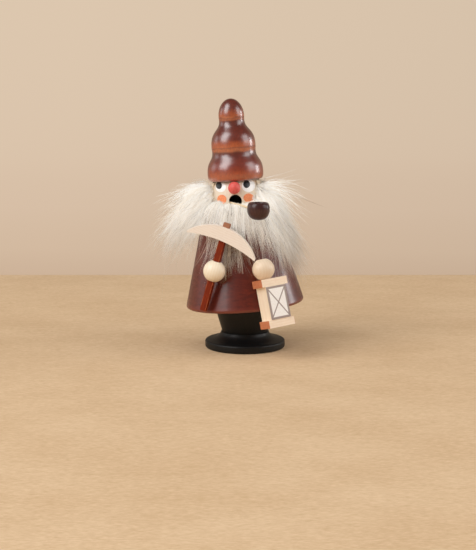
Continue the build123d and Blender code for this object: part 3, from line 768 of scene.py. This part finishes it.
tuft = {"strands": 5600, "rings": 5, "thick": 0.055, "face": (-0.3, -0.5, 0.4), "shadow": False,
        "locks": 420, "crowd": 0.6, "spread": 0.03, "rootSpread": 0.5, "gather": (0.6, 1.0), "loft": 0.6,
        "stray": 0.6, "lockStray": 2.2, "wave": 0.35, "lockWave": 1.1,
        "reach": [0.5, 0.62, 0.82, 0.85, 0.75], "longShare": 0.25,
        "flyaway": 0.2, "flyReach": 3.6, "wild": 0.015, "wildReach": 4.5}
under = {"strands": 450, "locks": 100, "shadow": True}  # light passes through most of the fine white fur
rightTuft = {"seed": 11, **tuft, "reach": [0.5, 0.66, 0.88, 0.92, 0.76], "flyReach": 3.1,
             "heart": (-18, 2, 40), "guides": [
    [[(-9.7, -5.2, 51.5), (-9.6, -9.5, 52.6), (-15.8, -11, 51), (-22.1, -10, 41.3)],
     [(-9.9, -5.4, 49), (-9.8, -10, 49.8), (-17.5, -12, 44.4), (-25.3, -12, 29.7)],
     [(-10.1, -5.4, 46.5), (-10, -10.5, 46.5), (-17.3, -13, 40.2), (-24.8, -13.5, 28.4)],
     [(-10.3, -5.4, 44), (-10.2, -10.5, 43.2), (-16.2, -13.5, 38.1), (-21.9, -14.5, 30.3)],
     [(-10, -5.6, 41.9), (-10, -11, 40.4), (-14.6, -14, 35.6), (-18.6, -15.5, 29.8)]],
    [[(-12.8, 0, 51.7), (-15.5, -0.5, 53.6), (-21.2, -1.5, 50.2), (-27.7, -2.5, 41.8)],
     [(-13, 0, 49.2), (-17.8, -1, 51.3), (-24.4, -3, 45.3), (-29.8, -4, 29)],
     [(-13.2, 0, 46.3), (-18.3, -2, 48.5), (-24.1, -4.5, 40.6), (-31.8, -6, 22.4)],
     [(-13.4, -0.5, 43.4), (-17.6, -3, 44.7), (-22.2, -6, 37.7), (-29.5, -8, 25)],
     [(-13.1, -1, 40.8), (-16.2, -4, 40.5), (-20, -7.5, 35.2), (-25.8, -10, 27.5)]],
    [[(-12.8, 4, 51.4), (-15.8, 5, 52.8), (-20.8, 5.5, 50.1), (-28.1, 5, 44.6)],
     [(-13, 4, 48.9), (-17.8, 5.5, 49.9), (-23.9, 6, 44.5), (-29.7, 5.5, 31.3)],
     [(-13.2, 4, 45.9), (-18.5, 6, 46.5), (-24.4, 6.5, 39.6), (-31.1, 6, 25.1)],
     [(-13.4, 4, 43), (-18, 6.5, 43), (-23.1, 7, 35.6), (-28.8, 6.5, 26)],
     [(-13.2, 4, 40.4), (-17.5, 7, 39.5), (-21.6, 8, 32.8), (-25.2, 7.5, 24.4)]]]}
leftTuft = {"seed": 23, **tuft, "strands": 5000, "reach": [0.5, 0.64, 0.86, 0.96, 0.9], "flyReach": 2.6,
            "lockStray": 2.0, "heart": (16, 2, 38), "face": (-0.4, -0.5, 0.5), "guides": [
    [[(8.2, -5.2, 50.7), (8.6, -9.5, 51.8), (15.3, -11, 47.9), (18.8, -10, 35.8)],
     [(8.1, -5.4, 48.2), (8.4, -10, 49), (16.6, -12, 40.5), (20.5, -12, 23.2)],
     [(7.9, -5.4, 45.7), (8.6, -10.5, 45.7), (16.3, -13, 35.5), (23, -13.5, 16.4)],
     [(7.7, -5.4, 43.2), (8.4, -11, 42.5), (14.8, -14.5, 32.5), (20.6, -16, 16.3)],
     [(7.5, -5.6, 40.8), (8.6, -11.5, 39.2), (13.2, -16, 30.7), (17.7, -18, 17.6)]],
    [[(10, 0, 50.6), (13.1, -0.5, 52.5), (18.2, -1.5, 48.2), (22, -2.5, 37.4)],
     [(9.8, 0, 47.7), (14.6, -1, 49.5), (20, -3, 40.7), (23.1, -4, 23.3)],
     [(9.6, 0, 44.7), (14.4, -2, 46.3), (19.6, -4.5, 35.3), (26.4, -5.5, 13.8)],
     [(9.4, -0.5, 41.9), (13.3, -3, 41.8), (17.7, -6, 31.8), (24.3, -7.5, 14.5)],
     [(9.2, -1, 39.4), (12.3, -4, 38.2), (16, -8, 29.6), (21.7, -10, 14.6)]],
    [[(9.3, 4, 50.4), (12.3, 5, 51.8), (16.5, 5.5, 47.4), (20.1, 5, 37.2)],
     [(9.1, 4, 47.4), (13.3, 5.5, 48.3), (17.9, 6, 39.2), (20.8, 5.5, 24)],
     [(8.9, 4, 44.5), (12.6, 6, 44.5), (16.9, 6.5, 33.4), (23.2, 6, 15.8)],
     [(8.7, 4, 41.5), (11.4, 6.5, 40.2), (15.2, 7.5, 29.6), (21.4, 7, 16)],
     [(8.5, 4, 38.9), (10.3, 7, 36.8), (13.4, 8.5, 27), (18.5, 8.5, 16.4)]]]}
beardLook = {"seed": 37, **tuft, "crowd": 0.5, "lockStray": 1.5, "lockWave": 0.9, "heart": (0, -4, 36),
             "reach": [0.72, 0.62, 0.52, 0.46, 0.46, 0.52, 0.68, 0.82, 0.86], "longShare": 0.14,
             "flyaway": 0.12, "flyReach": 2.5, "wild": 0.008, "guides": [
    [[(-8.5, -7, 43.2), (-11.5, -12.5, 46), (-15.3, -15, 36.6), (-19.6, -16, 27.8)],
     [(-7.2, -8, 42.6), (-9.1, -14.5, 46.8), (-12.6, -18, 34.2), (-16.1, -19, 24.7)],
     [(-5.1, -9, 41.9), (-5.7, -16, 46.7), (-9, -19.5, 31.7), (-11.8, -20.5, 20.1)],
     [(-2.9, -9.6, 41.6), (-2.8, -17, 45.8), (-5.5, -20.5, 27.9), (-7.2, -22.5, 13.9)],
     [(-0.4, -9.8, 41.5), (0, -17, 45.2), (-0.9, -20.5, 28.9), (-3.2, -22.5, 12.9)],
     [(1.6, -9.5, 41.7), (3.3, -17, 45), (3.6, -20, 29.3), (4, -21.5, 16.4)],
     [(3.7, -9, 42), (6.1, -16, 45.1), (8.5, -19.5, 30.2), (10.7, -20.5, 19.9)],
     [(5.3, -8, 42.2), (8.8, -14.5, 45.2), (12.5, -18, 30.6), (14.4, -19, 16.2)],
     [(6.9, -7, 42.6), (12, -12.5, 45.2), (14.8, -14.5, 30.8), (17.6, -15.5, 16.7)]]]}
napeLook = {"seed": 51, **tuft, "locks": 380, "crowd": 0.5, "heart": (0, 0, 40), "guides": [[]]}
napeFall = [(10.6, 48.5), (16.0, 48.5), (19.5, 38.0), (21.0, 22.0)]  # radius and height, root to tip
for degree in range(96, 265, 14):  # round the back, from one tuft to the other
    bearing = math.radians(degree)
    napeLook["guides"][0].append([(-r * math.sin(bearing), -r * math.cos(bearing), h) for r, h in napeFall])

wisps = {"strands": 130, "rings": 7, "thick": 0.075, "locks": 80, "crowd": 0.4, "spread": 0.06,
         "gather": (0.2, 0.7), "stray": 0.9, "lockStray": 1.5, "wave": 0.9, "lockWave": 1.3,
         "reach": [0.7, 0.9, 0.9, 0.85], "longShare": 0.2, "flyaway": 0.2, "flyReach": 2.5, "wild": 0.0}
rightWisps = {**rightTuft, **wisps, "seed": 61, "guides": [
    [[(-10.5, -3, 50.5), (-15, -5, 52.3), (-23, -7, 53), (-31, -8, 50.5)],
     [(-11, -3, 49), (-17, -6, 51), (-26, -8, 49), (-34, -9, 43)],
     [(-11, -3, 47), (-18, -6, 48.5), (-27, -8, 43.5), (-34, -9, 34)],
     [(-11, -3, 44.5), (-18, -7, 45), (-26, -9, 37.5), (-33, -10, 25)]]]}
leftWisps = {**leftTuft, **wisps, "seed": 71, "guides": [
    [[(9.5, -3, 50.5), (14, -5, 52.3), (22, -7, 53.5), (31, -8, 54)],
     [(10, -3, 49), (15, -6, 51.5), (22, -8, 50), (29.5, -9, 45)],
     [(10, -3, 47), (15.5, -6, 48.5), (21.5, -8, 43.5), (27, -9, 34)],
     [(10, -3, 44.5), (15, -7, 45), (20.5, -9, 36.5), (25, -10, 24)]]]}

tuftGrey = {"greyFrom": 0.4, "greyTo": 1.0, "grey": 0.2, "guards": 0.03, "guardFrom": 0.4, "guardTo": 0.8}
beardGrey = {"greyFrom": 0.35, "greyTo": 0.9, "grey": 0.65, "guards": 0.09, "guardFrom": 0.3, "guardTo": 0.7}
whiteFur = furFinish("whiteFur", tuftGrey)
beardFur = furFinish("beardFur", beardGrey)
furPieces = [("rightTuft", "right_hair", rightTuft, whiteFur), ("leftTuft", "left_hair", leftTuft, whiteFur),
             ("beardHair", "beard", beardLook, beardFur), ("napeHair", "back_hair", napeLook, whiteFur)]
for name, node, look, fur in furPieces:
    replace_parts(growFur(name, look, fur), node)
    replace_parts(growFur(name + "Under", {**look, **under, "seed": look["seed"] + 1}, fur), node)
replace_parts(growFur("rightWisps", rightWisps, whiteFur), "right_hair")
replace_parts(growFur("leftWisps", leftWisps, whiteFur), "left_hair")
print("fur grown")


# stage: a tan card on a paler sweep

stageSet = {"turn": 4.5, "cardBack": 0.204, "cardSize": (5.0, 2.6),
            "card": (223, 193, 157), "cardDeep": (206, 173, 135),
            "cardGrain": [((500, 1400, 1), 0.45), ((220, 420, 1), 0.25), ((22, 34, 1), 0.3)],
            "sweepFrom": 1.4, "sweepRadius": 0.5, "sweepSteps": 12, "sweepSize": 7.0, "sweepHigh": 1.5,
            "sweepDrop": 0.0004, "nearFar": (0.2, 1.9), "leftRight": (1.03, 0.96), "wallMirrored": 0.5,
            "wall": [(0.0, (202, 176, 151)), (0.07, (208, 183, 158)), (0.25, (212, 188, 164)),
                     (0.7, (215, 192, 168)), (1.0, (218, 197, 173))]}


def cardPaper():
    finish, tree, shader = newFinish("cardPaper", {"rough": 0.85, "specular": 0.2})
    spot = add(tree, "ShaderNodeTexCoord").outputs["Object"]
    level = stretched(tree, spot, (1, 1, 1), (0, 0, math.radians(-stageSet["turn"])))
    shares = []
    for scale, share in stageSet["cardGrain"]:
        shares.append(calc(tree, "MULTIPLY", noise(tree, stretched(tree, level, scale), 3.0, 0.6), share))
    fine, streaks, patches = shares
    mixed = calc(tree, "ADD", fine, calc(tree, "ADD", streaks, patches))
    tone = fade(tree, mixed, 0.4, 0.6)
    settle(tree, shader, blendColour(tree, tone, stageSet["card"], stageSet["cardDeep"]))
    return finish


def wallPaper():
    # shown in its own colours as a glow, with painted shade: a little darker to the right and close behind
    # the card
    finish, tree, shader = newFinish("wallPaper", {"rough": 0.9})
    shader.inputs["Base Color"].default_value = screen(*stageSet["wall"][2][1])
    spot = axes(tree, add(tree, "ShaderNodeTexCoord").outputs["Object"])
    near, far = stageSet["nearFar"]
    colour = bands(tree, fade(tree, spot["Y"], near, far), stageSet["wall"])
    side = calc(tree, "DIVIDE", spot["X"], calc(tree, "ADD", calc(tree, "MAXIMUM", spot["Y"], 0.0), 0.5))
    rays = add(tree, "ShaderNodeLightPath").outputs
    strength = calc(tree, "MULTIPLY", fade(tree, side, -0.2, 0.2, *stageSet["leftRight"]),
                    fade(tree, rays["Is Glossy Ray"], 0.0, 1.0, 1.0, stageSet["wallMirrored"]))
    glow = add(tree, "ShaderNodeEmission", {"Color": colour, "Strength": strength})
    seen = calc(tree, "MAXIMUM", calc(tree, "MAXIMUM", rays["Is Camera Ray"], rays["Is Transmission Ray"]),
                rays["Is Glossy Ray"])
    both = add(tree, "ShaderNodeMixShader", {0: seen, 1: shader.outputs[0], 2: glow.outputs[0]})
    tree.links.new(both.outputs[0], tree.nodes["Material Output"].inputs["Surface"])
    return finish


def floorCard():
    wide, deep = stageSet["cardSize"]
    middle = spun("Z", stageSet["turn"]) @ Vector((0, stageSet["cardBack"] - deep / 2, 0))
    bpy.ops.object.select_all(action="DESELECT")
    bpy.ops.mesh.primitive_plane_add(size=1, location=middle, rotation=(0, 0, math.radians(stageSet["turn"])))
    card = bpy.context.object
    card.name = "floorCard"
    card.scale = (wide, deep, 1)
    bpy.ops.object.transform_apply()
    card.data.materials.append(cardPaper())
    return card


def backSweep():
    size, start, radius = stageSet["sweepSize"], stageSet["sweepFrom"], stageSet["sweepRadius"]
    bpy.ops.object.select_all(action="DESELECT")
    bpy.ops.mesh.primitive_plane_add(size=size, location=(0, start - size / 2, -stageSet["sweepDrop"]))
    sweep = bpy.context.object
    sweep.name = "backSweep"
    bpy.ops.object.transform_apply()
    bpy.ops.object.mode_set(mode="EDIT")
    bpy.ops.mesh.select_mode(type="EDGE")
    bpy.ops.mesh.select_all(action="DESELECT")
    bpy.ops.object.mode_set(mode="OBJECT")
    for edge in sweep.data.edges:
        edge.select = all(sweep.data.vertices[v].co.y > start - 0.01 for v in edge.vertices)
    bpy.ops.object.mode_set(mode="EDIT")
    steps = stageSet["sweepSteps"]
    chord = 2 * radius * math.sin(math.pi / 4 / steps)
    for step in range(steps):
        lean = math.pi / 2 * (step + 0.5) / steps
        move = (0, chord * math.cos(lean), chord * math.sin(lean))
        bpy.ops.mesh.extrude_region_move(TRANSFORM_OT_translate={"value": move})
    bpy.ops.mesh.extrude_region_move(TRANSFORM_OT_translate={"value": (0, 0, stageSet["sweepHigh"])})
    bpy.ops.object.mode_set(mode="OBJECT")
    bpy.ops.object.shade_smooth()
    sweep.data.transform(spun("Z", stageSet["turn"]))
    sweep.data.materials.append(wallPaper())
    return sweep


floorCard()
backSweep()


# light: a tall soft box at the left, a smaller one at the right, a strip further round each side,
# a wide sheet in front that shows in no reflection, and a pale room

lamps = {
    "leftBox": {"bearing": -50, "rise": 37, "far": 1.3, "size": (0.80, 1.15), "power": 11.4},
    "rightBox": {"bearing": 78, "rise": 25, "far": 1.3, "size": (0.75, 0.75), "power": 4.2},
    "leftStrip": {"bearing": -100, "rise": 14, "far": 1.3, "size": (0.55, 0.50), "power": 1.1},
    "rightStrip": {"bearing": 110, "rise": 10, "far": 1.3, "size": (0.28, 0.35), "power": 2.7},
    "frontSheet": {"bearing": 10, "rise": 50, "far": 1.4, "size": (2.2, 1.2), "power": 5.0,
                   "mirrored": False},
}
lampAim = Vector((0, 0, 0.055))
for name, lamp in lamps.items():
    bearing, rise = math.radians(lamp["bearing"]), math.radians(lamp["rise"])
    out = Vector((math.sin(bearing) * math.cos(rise), -math.cos(bearing) * math.cos(rise), math.sin(rise)))
    bpy.ops.object.light_add(type="AREA", location=lampAim + out * lamp["far"],
                             rotation=out.to_track_quat("Z", "Y").to_euler())
    box = bpy.context.object
    box.name = name
    box.data.shape = "RECTANGLE"
    box.data.size, box.data.size_y = lamp["size"]
    box.data.energy = lamp["power"]
    box.visible_glossy = lamp.get("mirrored", True)

room = {"light": (255, 251, 244), "strength": 0.38, "mirrored": 0.06, "seen": (216, 193, 169)}
world = bpy.data.worlds.new("room")
scene.world = world
world.use_nodes = True
tree = world.node_tree
around = tree.nodes["Background"]
around.inputs["Color"].default_value = screen(*room["light"])
around.inputs["Strength"].default_value = room["strength"]
mirrored = add(tree, "ShaderNodeBackground", {"Color": screen(*room["light"]), "Strength": room["mirrored"]})
behind = add(tree, "ShaderNodeBackground", {"Color": screen(*room["seen"]), "Strength": 1.0})
rays = add(tree, "ShaderNodeLightPath").outputs
unseen = add(tree, "ShaderNodeMixShader",
             {0: rays["Is Glossy Ray"], 1: around.outputs[0], 2: mirrored.outputs[0]})
seen = calc(tree, "MAXIMUM", rays["Is Camera Ray"], rays["Is Transmission Ray"])
both = add(tree, "ShaderNodeMixShader", {0: seen, 1: unseen.outputs[0], 2: behind.outputs[0]})
tree.links.new(both.outputs[0], tree.nodes["World Output"].inputs["Surface"])
print("stage and light set")
